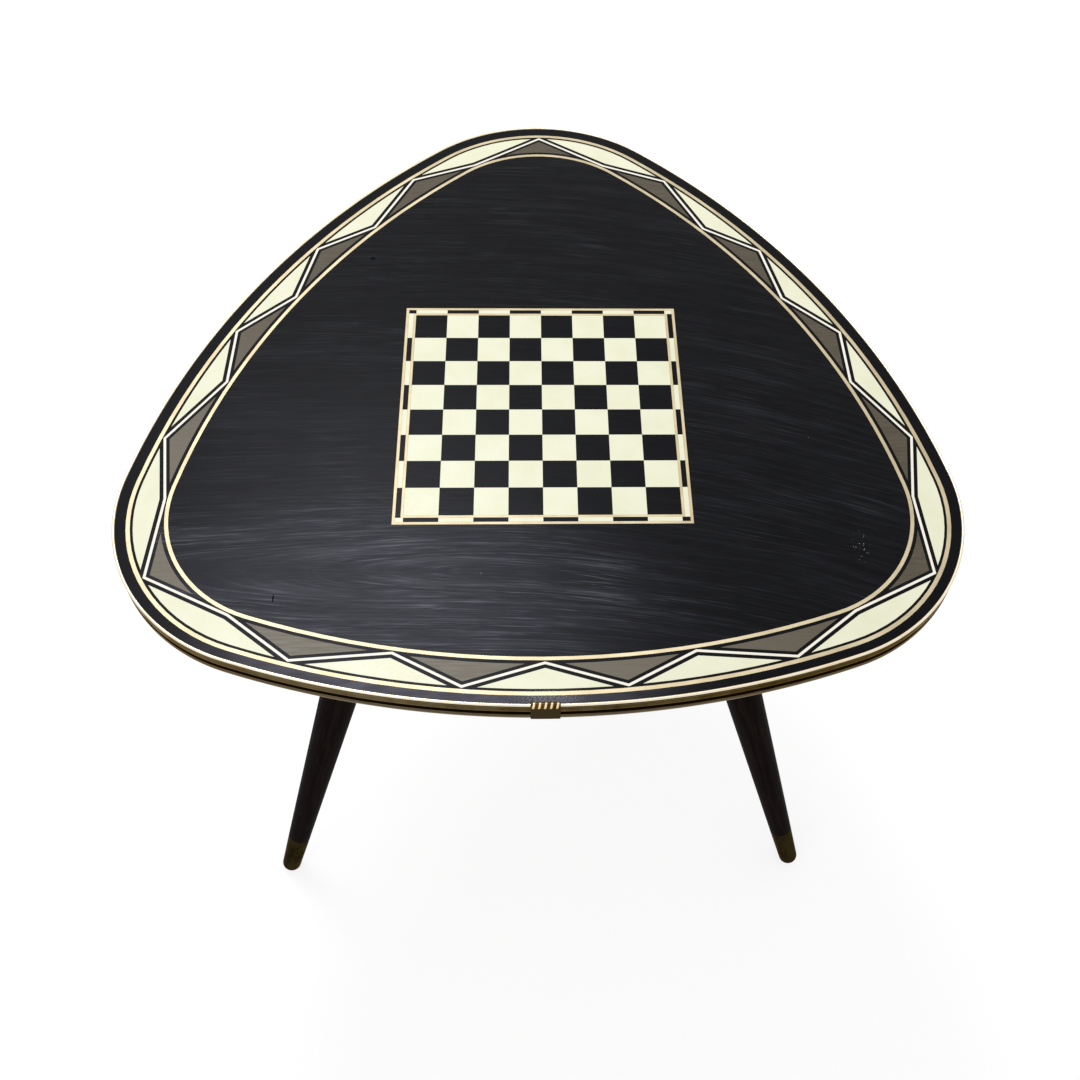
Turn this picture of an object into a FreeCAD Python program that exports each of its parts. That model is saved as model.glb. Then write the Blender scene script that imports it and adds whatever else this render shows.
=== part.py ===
import FreeCAD, Part
import math
import os

# Three-legged side table with a rounded triangular top and an inlaid chessboard.
# Millimetres, +Z up, floor at Z = 0, one corner of the top to the rear (+Y).

# Overall
TABLE_HEIGHT = 560.0
CORNER_REACH = 195.0
CORNER_RADIUS = 134.5
SIDE_RADIUS = 645.0
CORNER_COUNT = 3
REAR_ANGLE = 90.0

# Layers of the top
VENEER_THICK = 1.0
CORE_THICK = 14.4
BACKING_THICK = 0.6
INLAY_THICK = 0.5
INLAY_CLEAR = 0.05

# Chessboard
SQUARE = 25.0
SQUARES_PER_SIDE = 8
BOARD_FORWARD = 8.0
BOARD_INNER_LINE = 2.0
BOARD_STRIP = 3.8
BOARD_OUTER_LINE = 2.2

# Border pattern, counted inwards from the edge of the top
EDGE_MARGIN = 7.8
OUTER_LINE = 2.9
PATTERN_WIDTH = 23.6
INNER_LINE = 2.7
PATTERN_FORWARD = 1.6
ZIGZAG_WIDTH = 1.9
ZIGZAG_TIP_GAP = 1.0
IVORY_SIDE_GAP = 2.8
IVORY_BASE_GAP = 2.0
TAUPE_SIDE_GAP = 2.5
TAUPE_BASE_GAP = 2.6
TIP_ANGLE_NEAR_CORNER = 23.0
TIP_ANGLE_NEAR_MIDDLE = 47.4

# Metal edge band
BAND_FACE = 2.4
BAND_GAP = 0.15
BAND_SEAT = 0.05
BEAD_HEIGHT = 1.0
BEAD_RADIUS = 1.3
BEAD_PROUD = 0.5
FLUTE_TOP = 6.6
FLUTE_BOTTOM = 11.0
FLUTE_DEPTH = 1.1
LIP_UNDER = 1.4
LIP_THICK = 0.9
LIP_ROUND = 1.6
SPINE_THICK = 1.6
SPINE_DEPTH = 8.0
SPINE_CLEAR = 0.1
SPINE_DROP = 8.0
BAND_END_GAP = 0.4

# Ribbed clip over the joint of the band
CLIP_WIDTH = 19.6
CLIP_THICK = 0.6
CLIP_CLEAR = 0.2
CLIP_UNDER_REACH = 6.0
CLIP_CORNER = 1.6
RIB_COUNT = 5
RIB_PITCH = 3.9
RIB_RADIUS = 1.1
RIB_PROUD = 0.6
RIB_DROP = 2.4

# Legs
LEG_NAMES = ("rear", "front_left", "front_right")
LEG_CENTRE = 122.0
LEG_SPLAY = 18.8
LEG_TOP_RADIUS = 23.0
LEG_FOOT_RADIUS = 9.4
LEG_TOP_BEVEL = 2.0
FERRULE_LENGTH = 64.0
FERRULE_WALL = 0.8
FERRULE_CLEAR = 0.05
FERRULE_ROUND = 7.5
SPIGOT_BEVEL = 5.0
FOOT_WEAR = 0.3

# Leg fixings
PLATE_THICK = 2.5
PLATE_RADIAL = 84.0
PLATE_ACROSS = 74.0
PLATE_CORNER = 9.0
CUP_RADIUS = 27.0
CUP_RISE = 6.5
CUP_EDGE_ROUND = 1.5
BOLT_RADIUS = 4.0
BOLT_FIT = 0.05
BOLT_IN_LEG = 32.0
BOLT_POINT = 5.0
BOLT_TIP_CHAMFER = 1.0
THREAD_LENGTH = 12.5
BUSH_RADIUS = 8.0
BUSH_SPIGOT_RADIUS = 6.5
BUSH_CLEAR = 0.05
WASHER_RADIUS = 20.0
WASHER_THICK = 1.5
WASHER_BORE_CLEAR = 0.6
SCREW_RADIAL_SPACING = 66.0
SCREW_ACROSS_SPACING = 56.0
SCREW_RADIUS = 1.9
SCREW_LENGTH = 15.0
SCREW_POINT = 4.0
SCREW_HEAD_RADIUS = 3.8
SCREW_HEAD_HEIGHT = 2.4
SCREW_CLEAR = 0.1

# Derived levels
TOP_Z = TABLE_HEIGHT
CORE_TOP_Z = TOP_Z - VENEER_THICK
CORE_BOTTOM_Z = CORE_TOP_Z - CORE_THICK
UNDERSIDE_Z = CORE_BOTTOM_Z - BACKING_THICK
POCKET_Z = TOP_Z - INLAY_THICK
TOP_THICK = TOP_Z - UNDERSIDE_Z

# Derived plan values: the middle of each side arc lies across the centre from its side
SIDE_TURN = 360.0 / CORNER_COUNT
HALF_TURN = math.radians(SIDE_TURN / 2)
SIDE_SETBACK = (math.sqrt((SIDE_RADIUS - CORNER_RADIUS) ** 2 - (CORNER_REACH * math.sin(HALF_TURN)) ** 2)
                - CORNER_REACH * math.cos(HALF_TURN))
SIDE_REACH = SIDE_RADIUS - SIDE_SETBACK
CLIP_STANDOUT = BAND_FACE + CLIP_CLEAR + CLIP_THICK + RIB_PROUD
REAR_EXTENT = CORNER_REACH + CORNER_RADIUS + BAND_FACE
FRONT_EXTENT = SIDE_REACH + CLIP_STANDOUT
AXIS_Y = (FRONT_EXTENT - REAR_EXTENT) / 2

# How far the round bead reaches over the face of the top
BEAD_OVERLAP = (math.sqrt(BEAD_RADIUS ** 2 - (BEAD_HEIGHT - BEAD_RADIUS - BAND_SEAT) ** 2)
                - BAND_FACE + BEAD_RADIUS)

# Offsets of the pattern's edges from the edge of the top
OUTER_LINE_OUT = -EDGE_MARGIN
OUTER_LINE_IN = OUTER_LINE_OUT - OUTER_LINE
INNER_LINE_OUT = OUTER_LINE_IN - PATTERN_WIDTH
INNER_LINE_IN = INNER_LINE_OUT - INNER_LINE

# Derived leg values, measured along the leg from the underside of the top
SPLAY = math.radians(LEG_SPLAY)
SEAT = (CUP_RADIUS * math.sin(SPLAY) + CUP_RISE) / math.cos(SPLAY)
LEG_TOP = SEAT + WASHER_THICK
FOOT_ARC = (UNDERSIDE_Z + FOOT_WEAR - FERRULE_ROUND
            - (LEG_FOOT_RADIUS - FERRULE_ROUND) * math.sin(SPLAY)) / math.cos(SPLAY)
LEG_END = FOOT_ARC + FERRULE_ROUND
FERRULE_TOP = LEG_END - FERRULE_LENGTH
BOLT_TIP = SEAT - THREAD_LENGTH

Z_AXIS = FreeCAD.Vector(0, 0, 1)
ORIGIN = FreeCAD.Vector(0, 0, 0)

# How far the middle of a quarter round of unit radius stands in from its square corner
QUARTER_ROUND = 1 - math.sqrt(0.5)


def polar(radius, degrees, z=0.0):
    """Point at a distance and direction from the vertical axis of the top."""
    angle = math.radians(degrees)
    return FreeCAD.Vector(radius * math.cos(angle), AXIS_Y + radius * math.sin(angle), z)


def corner_angles():
    return [REAR_ANGLE + SIDE_TURN * k for k in range(CORNER_COUNT)]


def side_arc_centre(side_angle):
    return polar(-SIDE_SETBACK, side_angle)


def tangent_half_angle():
    """Half the angle that one side arc turns through."""
    return math.degrees(math.asin(CORNER_REACH * math.sin(HALF_TURN) / (SIDE_RADIUS - CORNER_RADIUS)))


def outline_arcs():
    """Centre, radius, start and end direction of the six arcs, going round once."""
    half_side = tangent_half_angle()
    half_corner = SIDE_TURN / 2 - half_side
    arcs = []
    for corner in corner_angles():
        side = corner + SIDE_TURN / 2
        arcs.append((polar(CORNER_REACH, corner), CORNER_RADIUS,
                     corner - half_corner, corner + half_corner))
        arcs.append((side_arc_centre(side), SIDE_RADIUS, side - half_side, side + half_side))
    return arcs


def on_arc(centre, radius, degrees, z):
    angle = math.radians(degrees)
    return FreeCAD.Vector(centre.x + radius * math.cos(angle), centre.y + radius * math.sin(angle), z)


def outline_plate(offset, z_low, z_high):
    """Solid plate with the top's outline moved outwards by offset."""
    edges = []
    for centre, radius, start, end in outline_arcs():
        points = [on_arc(centre, radius + offset, a, z_low) for a in (start, (start + end) / 2, end)]
        edges.append(Part.Arc(*points).toShape())
    face = Part.Face(Part.Wire(edges))
    return face.extrude(Z_AXIS * (z_high - z_low))


def outline_ring(outer_offset, inner_offset, z_low, z_high):
    return outline_plate(outer_offset, z_low, z_high).cut(outline_plate(inner_offset, z_low, z_high))


def outline_radius(offset, degrees):
    """Distance from the vertical axis to the moved outline in one direction."""
    fold = (degrees - REAR_ANGLE + SIDE_TURN / 2) % SIDE_TURN - SIDE_TURN / 2
    fold = math.radians(abs(fold))
    corner_radius = CORNER_RADIUS + offset
    across = CORNER_REACH * math.sin(fold)
    reach = CORNER_REACH * math.cos(fold) + math.sqrt(max(corner_radius ** 2 - across ** 2, 0.0))
    from_corner = math.degrees(math.atan2(reach * math.sin(fold), reach * math.cos(fold) - CORNER_REACH))
    if from_corner <= SIDE_TURN / 2 - tangent_half_angle():
        return reach
    turn = HALF_TURN - fold
    side_radius = SIDE_RADIUS + offset
    across = SIDE_SETBACK * math.sin(turn)
    return math.sqrt(side_radius ** 2 - across ** 2) - SIDE_SETBACK * math.cos(turn)


def prism(points, z_low, z_high):
    corners = [FreeCAD.Vector(p.x, p.y, z_low) for p in points]
    face = Part.Face(Part.makePolygon(corners + corners[:1]))
    return face.extrude(Z_AXIS * (z_high - z_low))


def box(x_low, y_low, x_high, y_high, z_low, z_high):
    base = FreeCAD.Vector(x_low, y_low, z_low)
    return Part.makeBox(x_high - x_low, y_high - y_low, z_high - z_low, base)


def line_meet(p, u, q, v):
    """Crossing of two lines in plan, each a point and a direction."""
    cross = u.x * v.y - u.y * v.x
    t = ((q.x - p.x) * v.y - (q.y - p.y) * v.x) / cross
    return p + u * t


def left_of(direction):
    return FreeCAD.Vector(-direction.y, direction.x, 0).normalize()


def moved_corner(before, at, after, distance):
    """Corner of a bent line moved to its left by distance, both sides staying parallel."""
    u = at - before
    v = after - at
    return line_meet(at + left_of(u) * distance, u, at + left_of(v) * distance, v)


# Border pattern; each triangle is cut from a wedge longer than one stroke of the zigzag

IVORY_WEDGE_STROKES = 2.0
TAUPE_WEDGE_STROKES = 1.2


def zigzag_points():
    """Middle line of the zigzag: outer and inner tips by turns, going round once."""
    outer_steps = (0.0, TIP_ANGLE_NEAR_CORNER, TIP_ANGLE_NEAR_MIDDLE,
                   SIDE_TURN - TIP_ANGLE_NEAR_MIDDLE, SIDE_TURN - TIP_ANGLE_NEAR_CORNER, SIDE_TURN)
    tip_inset = ZIGZAG_TIP_GAP + ZIGZAG_WIDTH / 2
    points = []
    for corner in corner_angles():
        for near, far in zip(outer_steps, outer_steps[1:]):
            outer = corner + near
            inner = corner + (near + far) / 2
            points.append(polar(outline_radius(OUTER_LINE_IN - tip_inset, outer), outer))
            points.append(polar(outline_radius(INNER_LINE_OUT + tip_inset, inner), inner))
    return points


def around(points):
    """Each point of a closed line with its two neighbours."""
    count = len(points)
    return [(points[k - 1], points[k], points[(k + 1) % count]) for k in range(count)]


def set_forward(piece):
    """Moves a piece of the border from the middle of the top to where the pattern lies."""
    return piece.translated(FreeCAD.Vector(0, -PATTERN_FORWARD, 0))


def border_line(outer_offset, inner_offset, grow, z_low, z_high):
    return set_forward(outline_ring(outer_offset + grow, inner_offset - grow, z_low, z_high))


def zigzag_solid(grow, z_low, z_high):
    half = ZIGZAG_WIDTH / 2 + grow
    line = zigzag_points()
    outer = [moved_corner(*three, -half) for three in around(line)]
    inner = [moved_corner(*three, half) for three in around(line)]
    return set_forward(prism(outer, z_low, z_high).cut(prism(inner, z_low, z_high)))


def ivory_triangles(grow, z_low, z_high):
    """Pieces that stand on the outer line and point inwards."""
    side = ZIGZAG_WIDTH / 2 + IVORY_SIDE_GAP - grow
    inside = outline_plate(OUTER_LINE_IN - IVORY_BASE_GAP + grow, z_low, z_high)
    pieces = []
    for before, at, after in around(zigzag_points())[1::2]:
        tip = moved_corner(before, at, after, -side)
        ends = [tip + (end - at) * IVORY_WEDGE_STROKES for end in (before, after)]
        beyond = at + (at - polar(0, 0))
        wedge = prism([tip, ends[0], beyond, ends[1]], z_low, z_high)
        pieces.append(set_forward(wedge.common(inside)))
    return pieces


def taupe_triangles(grow, z_low, z_high):
    """Pieces that stand on the inner line and point outwards."""
    side = ZIGZAG_WIDTH / 2 + TAUPE_SIDE_GAP - grow
    field = outline_plate(INNER_LINE_OUT + TAUPE_BASE_GAP - grow, z_low, z_high)
    pieces = []
    for before, at, after in around(zigzag_points())[0::2]:
        tip = moved_corner(before, at, after, side)
        ends = [tip + (end - at) * TAUPE_WEDGE_STROKES for end in (before, after)]
        pieces.append(set_forward(prism([tip] + ends, z_low, z_high).cut(field)))
    return pieces


# Chessboard

BOARD_Y = AXIS_Y - BOARD_FORWARD
FIELD_HALF = SQUARE * SQUARES_PER_SIDE / 2
INNER_FRAME_HALF = FIELD_HALF + BOARD_INNER_LINE
STRIP_HALF = INNER_FRAME_HALF + BOARD_STRIP
BOARD_HALF = STRIP_HALF + BOARD_OUTER_LINE


def board_box(half, z_low, z_high):
    return box(-half, BOARD_Y - half, half, BOARD_Y + half, z_low, z_high)


def board_frame(outer_half, inner_half):
    outer = board_box(outer_half - INLAY_CLEAR, POCKET_Z, TOP_Z)
    return outer.cut(board_box(inner_half + INLAY_CLEAR, POCKET_Z, TOP_Z))


def inlay_tile(x_low, y_low, x_high, y_high):
    c = INLAY_CLEAR
    return box(x_low + c, BOARD_Y + y_low + c, x_high - c, BOARD_Y + y_high - c, POCKET_Z, TOP_Z)


def chess_squares(dark):
    """Squares of one colour; the rear left square is dark."""
    tiles = []
    for row in range(SQUARES_PER_SIDE):
        for column in range(SQUARES_PER_SIDE):
            if ((row + column) % 2 == 0) == dark:
                x = column * SQUARE - FIELD_HALF
                y = FIELD_HALF - (row + 1) * SQUARE
                tiles.append(inlay_tile(x, y, x + SQUARE, y + SQUARE))
    return tiles


def strip_tiles(dark):
    """Narrow strip round the field that carries the chequer on; its rear left corner is dark."""
    edges = [k * SQUARE - FIELD_HALF for k in range(SQUARES_PER_SIDE + 1)]
    along_x = [-STRIP_HALF] + edges + [STRIP_HALF]
    along_y = [-INNER_FRAME_HALF] + edges[1:-1] + [INNER_FRAME_HALF]
    tiles = []
    for k in range(SQUARES_PER_SIDE + 2):
        low, high = along_x[k], along_x[k + 1]
        if (k % 2 == 0) == dark:
            tiles.append(inlay_tile(low, INNER_FRAME_HALF, high, STRIP_HALF))
        else:
            tiles.append(inlay_tile(low, -STRIP_HALF, high, -INNER_FRAME_HALF))
    for k in range(SQUARES_PER_SIDE):
        low, high = along_y[k], along_y[k + 1]
        if (k % 2 == 0) == dark:
            tiles.append(inlay_tile(-STRIP_HALF, low, -INNER_FRAME_HALF, high))
        else:
            tiles.append(inlay_tile(INNER_FRAME_HALF, low, STRIP_HALF, high))
    return tiles


# Top

def inlay_pockets():
    """Space sunk into the veneer for every inlaid piece."""
    c = INLAY_CLEAR
    pockets = [board_box(BOARD_HALF, POCKET_Z, TOP_Z),
               border_line(OUTER_LINE_OUT, OUTER_LINE_IN, c, POCKET_Z, TOP_Z),
               border_line(INNER_LINE_OUT, INNER_LINE_IN, c, POCKET_Z, TOP_Z),
               zigzag_solid(c, POCKET_Z, TOP_Z)]
    return pockets + ivory_triangles(c, POCKET_Z, TOP_Z) + taupe_triangles(c, POCKET_Z, TOP_Z)


def top_veneer():
    return outline_plate(0.0, CORE_TOP_Z, TOP_Z).cut(inlay_pockets())


def spine_slot():
    low = TOP_Z - SPINE_DROP - SPINE_THICK / 2 - SPINE_CLEAR
    high = low + SPINE_THICK + 2 * SPINE_CLEAR
    return outline_ring(BAND_FACE, -SPINE_DEPTH - SPINE_CLEAR, low, high)


def top_core():
    core = outline_plate(0.0, CORE_BOTTOM_Z, CORE_TOP_Z)
    return core.cut([spine_slot()] + all_screw_holes())


def underside_backing():
    return outline_plate(0.0, UNDERSIDE_Z, CORE_BOTTOM_Z).cut(all_screw_holes())


# Edge band, drawn as a section: x outwards from the edge of the top, z from the top face

def section_point(x, z):
    return FreeCAD.Vector(x, 0, TOP_Z + z)


def section_face(steps):
    """Closed section; each step is an end point, or a middle and an end point for an arc."""
    edges = []
    at = steps[-1][-1]
    for step in steps:
        if len(step) == 1:
            edges.append(Part.makeLine(at, step[0]))
        else:
            edges.append(Part.Arc(at, step[0], step[1]).toShape())
        at = step[-1]
    return Part.Face(Part.Wire(edges))


def band_section():
    p = section_point
    bottom = -TOP_THICK - BAND_SEAT
    spine_high = -SPINE_DROP + SPINE_THICK / 2
    spine_low = -SPINE_DROP - SPINE_THICK / 2
    face = BAND_FACE - BEAD_PROUD
    bead_x = BAND_FACE - BEAD_RADIUS
    bead_foot = BEAD_HEIGHT - BEAD_RADIUS - math.sqrt(BEAD_RADIUS ** 2 - (BEAD_RADIUS - BEAD_PROUD) ** 2)
    lip_turn = LIP_ROUND * QUARTER_ROUND
    under = bottom - LIP_THICK
    return section_face([
        (p(-BEAD_OVERLAP, BAND_SEAT),),
        (p(bead_x, BEAD_HEIGHT), p(face, bead_foot)),
        (p(face, -FLUTE_TOP),),
        (p(face - FLUTE_DEPTH, -(FLUTE_TOP + FLUTE_BOTTOM) / 2), p(face, -FLUTE_BOTTOM)),
        (p(face, under + LIP_ROUND),),
        (p(face - lip_turn, under + lip_turn), p(face - LIP_ROUND, under)),
        (p(-LIP_UNDER, under),),
        (p(-LIP_UNDER, bottom),),
        (p(BAND_GAP, bottom),),
        (p(BAND_GAP, spine_low),),
        (p(-SPINE_DEPTH, spine_low),),
        (p(-SPINE_DEPTH, spine_high),),
        (p(BAND_GAP, spine_high),),
        (p(BAND_GAP, BAND_SEAT),),
    ])


def along_edge(section, centre, radius, start, end):
    """Section carried along one arc of the edge."""
    shape = section.copy()
    shape.translate(FreeCAD.Vector(radius, 0, 0))
    shape.rotate(ORIGIN, Z_AXIS, start)
    shape.translate(centre)
    return shape.revolve(centre, Z_AXIS, end - start)


def front_arc():
    """The side arc opposite the rear corner, whose middle carries the joint of the band."""
    side_arcs = outline_arcs()[1::2]
    return side_arcs[CORNER_COUNT // 2]


def edge_band():
    """One strip bent round the top, its two ends meeting at the middle of the front."""
    section = band_section()
    joint = math.degrees(BAND_END_GAP / 2 / SIDE_RADIUS)
    runs = []
    for arc in outline_arcs():
        centre, radius, start, end = arc
        if arc == front_arc():
            middle = (start + end) / 2
            runs.append(along_edge(section, centre, radius, start, middle - joint))
            runs.append(along_edge(section, centre, radius, middle + joint, end))
        else:
            runs.append(along_edge(section, centre, radius, start, end))
    return runs[0].multiFuse(runs[1:])


def clip_line(distance):
    """Line round the outside of the band, the given distance outside its clearance."""
    reach = BAND_FACE + CLIP_CLEAR + distance
    high = BEAD_HEIGHT + CLIP_CLEAR + distance
    low = -TOP_THICK - BAND_SEAT - LIP_THICK - CLIP_CLEAR - distance
    turn = CLIP_CORNER + distance
    cut = turn * QUARTER_ROUND
    return reach, high, low, turn, cut


def clip_section():
    """Sheet strip hooked over the bead, down the face and under the lower lip."""
    p = section_point
    reach, high, low, turn, cut = clip_line(CLIP_THICK)
    reach_in, high_in, low_in, turn_in, cut_in = clip_line(0.0)
    hook = -BEAD_OVERLAP - CLIP_CLEAR
    back = hook - CLIP_THICK
    bend = CLIP_CORNER * QUARTER_ROUND
    return section_face([
        (p(back, BAND_SEAT),),
        (p(back, high - CLIP_CORNER),),
        (p(back + bend, high - bend), p(back + CLIP_CORNER, high)),
        (p(reach - turn, high),),
        (p(reach - cut, high - cut), p(reach, high - turn)),
        (p(reach, low + turn),),
        (p(reach - cut, low + cut), p(reach - turn, low)),
        (p(-CLIP_UNDER_REACH, low),),
        (p(-CLIP_UNDER_REACH, low_in),),
        (p(reach_in - turn_in, low_in),),
        (p(reach_in - cut_in, low_in + cut_in), p(reach_in, low_in + turn_in)),
        (p(reach_in, high_in - turn_in),),
        (p(reach_in - cut_in, high_in - cut_in), p(reach_in - turn_in, high_in)),
        (p(hook, high_in),),
        (p(hook, BAND_SEAT),),
    ])


def clip_inside():
    """Everything within the clip's inner line."""
    p = section_point
    reach, high, low, turn, cut = clip_line(0.0)
    return section_face([
        (p(-CLIP_UNDER_REACH, high),),
        (p(reach - turn, high),),
        (p(reach - cut, high - cut), p(reach, high - turn)),
        (p(reach, low + turn),),
        (p(reach - cut, low + cut), p(reach - turn, low)),
        (p(-CLIP_UNDER_REACH, low),),
    ])


def clip_rib():
    """Half-round ridge running over the bead and part of the way down the face."""
    reach, high, low, turn, cut = clip_line(CLIP_THICK + RIB_PROUD - RIB_RADIUS)
    p = section_point
    start = p(0, high)
    path = Part.Wire([
        Part.makeLine(start, p(reach - turn, high)),
        Part.Arc(p(reach - turn, high), p(reach - cut, high - cut), p(reach, high - turn)).toShape(),
        Part.makeLine(p(reach, high - turn), p(reach, -RIB_DROP)),
    ])
    circle = Part.Wire(Part.makeCircle(RIB_RADIUS, start, FreeCAD.Vector(1, 0, 0)))
    return path.makePipeShell([circle], True, False)


def edge_splice_clip():
    centre, radius, start, end = front_arc()
    middle = (start + end) / 2
    half = math.degrees(CLIP_WIDTH / 2 / SIDE_RADIUS)
    clip = along_edge(clip_section(), centre, radius, middle - half, middle + half)
    inside = along_edge(clip_inside(), centre, radius, middle - half, middle + half)
    ribs = []
    for k in range(RIB_COUNT):
        rib = clip_rib()
        rib.translate(FreeCAD.Vector(radius, 0, 0))
        side = (k - (RIB_COUNT - 1) / 2) * RIB_PITCH
        rib.rotate(ORIGIN, Z_AXIS, middle + math.degrees(side / SIDE_RADIUS))
        rib.translate(centre)
        ribs.append(rib.cut(inside))
    return clip.multiFuse(ribs)


# Legs, drawn upright: z runs up from the underside of the top, the foot is at -LEG_END

def place_fixing(shape, degrees):
    """Moves a level piece from the leg's own place to its place under the top."""
    placed = shape.copy()
    placed.translate(FreeCAD.Vector(LEG_CENTRE, 0, 0))
    placed.rotate(ORIGIN, Z_AXIS, degrees)
    placed.translate(FreeCAD.Vector(0, AXIS_Y, UNDERSIDE_Z))
    return placed


def place_leg(shape, degrees):
    """Tilts an upright leg piece outwards and puts it under the top."""
    tilted = shape.copy()
    tilted.rotate(ORIGIN, FreeCAD.Vector(0, 1, 0), -LEG_SPLAY)
    return place_fixing(tilted, degrees)


def turned(steps):
    """Solid turned about the upright axis from a half section of radius and depth steps."""
    points = [tuple(FreeCAD.Vector(r, 0, -depth) for r, depth in step) for step in steps]
    return section_face(points).revolve(ORIGIN, Z_AXIS, 360)


def leg_radius(depth):
    share = (depth - LEG_TOP) / (LEG_END - LEG_TOP)
    return LEG_TOP_RADIUS + (LEG_FOOT_RADIUS - LEG_TOP_RADIUS) * share


def leg():
    """Tapered leg with a bevelled top edge, a spigot for the ferrule and a hole for the bolt."""
    skin = FERRULE_WALL + FERRULE_CLEAR
    spigot_end = LEG_END - FERRULE_WALL
    hole = BOLT_RADIUS + BOLT_FIT
    shoulder = leg_radius(LEG_TOP + LEG_TOP_BEVEL)
    end_radius = LEG_FOOT_RADIUS - skin
    return turned([
        ((hole, LEG_TOP),),
        ((shoulder - LEG_TOP_BEVEL, LEG_TOP),),
        ((shoulder, LEG_TOP + LEG_TOP_BEVEL),),
        ((leg_radius(FERRULE_TOP), FERRULE_TOP),),
        ((leg_radius(FERRULE_TOP) - skin, FERRULE_TOP),),
        ((end_radius, spigot_end - SPIGOT_BEVEL),),
        ((end_radius - SPIGOT_BEVEL, spigot_end),),
        ((0, spigot_end),),
        ((0, LEG_TOP + BOLT_IN_LEG + BOLT_FIT),),
        ((hole, LEG_TOP + BOLT_IN_LEG - BOLT_POINT),),
    ])


def ferrule():
    """Tapered metal cup with a rounded end, bevelled inside to seat the spigot."""
    bend = FERRULE_ROUND * QUARTER_ROUND
    inner = LEG_FOOT_RADIUS - FERRULE_WALL
    floor = LEG_END - FERRULE_WALL
    mouth = leg_radius(FERRULE_TOP)
    return turned([
        ((mouth, FERRULE_TOP),),
        ((LEG_FOOT_RADIUS, FOOT_ARC),),
        ((LEG_FOOT_RADIUS - bend, LEG_END - bend), (LEG_FOOT_RADIUS - FERRULE_ROUND, LEG_END)),
        ((0, LEG_END),),
        ((0, floor),),
        ((inner - SPIGOT_BEVEL, floor),),
        ((inner, floor - SPIGOT_BEVEL),),
        ((mouth - FERRULE_WALL, FERRULE_TOP),),
    ])


def placed_ferrule(degrees):
    """Ferrule with the small flat that it stands on."""
    span = LEG_FOOT_RADIUS + FERRULE_LENGTH
    foot = polar(LEG_CENTRE + LEG_END * math.sin(SPLAY), degrees)
    below = box(foot.x - span, foot.y - span, foot.x + span, foot.y + span, -span, 0)
    return place_leg(ferrule(), degrees).cut(below)


def hanger_bolt():
    """Stud with a machine thread above the leg and a pointed wood thread in it."""
    end = LEG_TOP + BOLT_IN_LEG
    return turned([
        ((BOLT_RADIUS - BOLT_TIP_CHAMFER, BOLT_TIP),),
        ((BOLT_RADIUS, BOLT_TIP + BOLT_TIP_CHAMFER),),
        ((BOLT_RADIUS, end - BOLT_POINT),),
        ((0, end),),
        ((0, BOLT_TIP),),
    ])


def leg_washer():
    bore = BOLT_RADIUS + WASHER_BORE_CLEAR
    return turned([
        ((bore, SEAT),),
        ((WASHER_RADIUS, SEAT),),
        ((WASHER_RADIUS, LEG_TOP),),
        ((bore, LEG_TOP),),
    ])


def leg_bush():
    """Threaded bush: a collar inside the cup and a spigot through its floor."""
    bore = BOLT_RADIUS + BOLT_FIT
    shoulder = SEAT - PLATE_THICK
    return turned([
        ((bore, SEAT - THREAD_LENGTH),),
        ((BUSH_RADIUS, SEAT - THREAD_LENGTH),),
        ((BUSH_RADIUS, shoulder),),
        ((BUSH_SPIGOT_RADIUS, shoulder),),
        ((BUSH_SPIGOT_RADIUS, SEAT),),
        ((bore, SEAT),),
    ])


def upright_cylinder(radius, depth_low, depth_high):
    return Part.makeCylinder(radius, depth_low - depth_high, FreeCAD.Vector(0, 0, -depth_low))


def tilted_cylinder(radius, depth_low, depth_high):
    cylinder = upright_cylinder(radius, depth_low, depth_high)
    cylinder.rotate(ORIGIN, FreeCAD.Vector(0, 1, 0), -LEG_SPLAY)
    return cylinder


def screw_places():
    return [(sx * SCREW_RADIAL_SPACING / 2, sy * SCREW_ACROSS_SPACING / 2)
            for sx in (-1, 1) for sy in (-1, 1)]


def plate_blank():
    """Flat flange with rounded corners, its upper face on the underside of the top."""
    flange = box(-PLATE_RADIAL / 2, -PLATE_ACROSS / 2, PLATE_RADIAL / 2, PLATE_ACROSS / 2, -PLATE_THICK, 0)
    upright = [e for e in flange.Edges if abs(e.Vertexes[0].Z - e.Vertexes[1].Z) > PLATE_THICK / 2]
    return flange.makeFillet(PLATE_CORNER, upright)


def leg_plate():
    """Pressed plate: a level flange with a slanted cup whose floor is square to the leg."""
    above = -CUP_RADIUS
    reach = PLATE_RADIAL + PLATE_ACROSS
    below_top = box(-reach, -reach, reach, reach, -reach, 0)
    cup = tilted_cylinder(CUP_RADIUS, SEAT, above)
    rim = [e for e in cup.Edges if len(e.Vertexes) == 1 and e.CenterOfMass.z < -PLATE_THICK]
    cup = cup.makeFillet(CUP_EDGE_ROUND, rim).common(below_top)
    hollow = tilted_cylinder(CUP_RADIUS - PLATE_THICK, SEAT - PLATE_THICK, above)
    bush_hole = tilted_cylinder(BUSH_SPIGOT_RADIUS + BUSH_CLEAR, SEAT + PLATE_THICK, above)
    screw_holes = [screw_hole().translated(FreeCAD.Vector(x, y, 0)) for x, y in screw_places()]
    return plate_blank().fuse(cup).cut([hollow, bush_hole] + screw_holes).removeSplitter()


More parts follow.
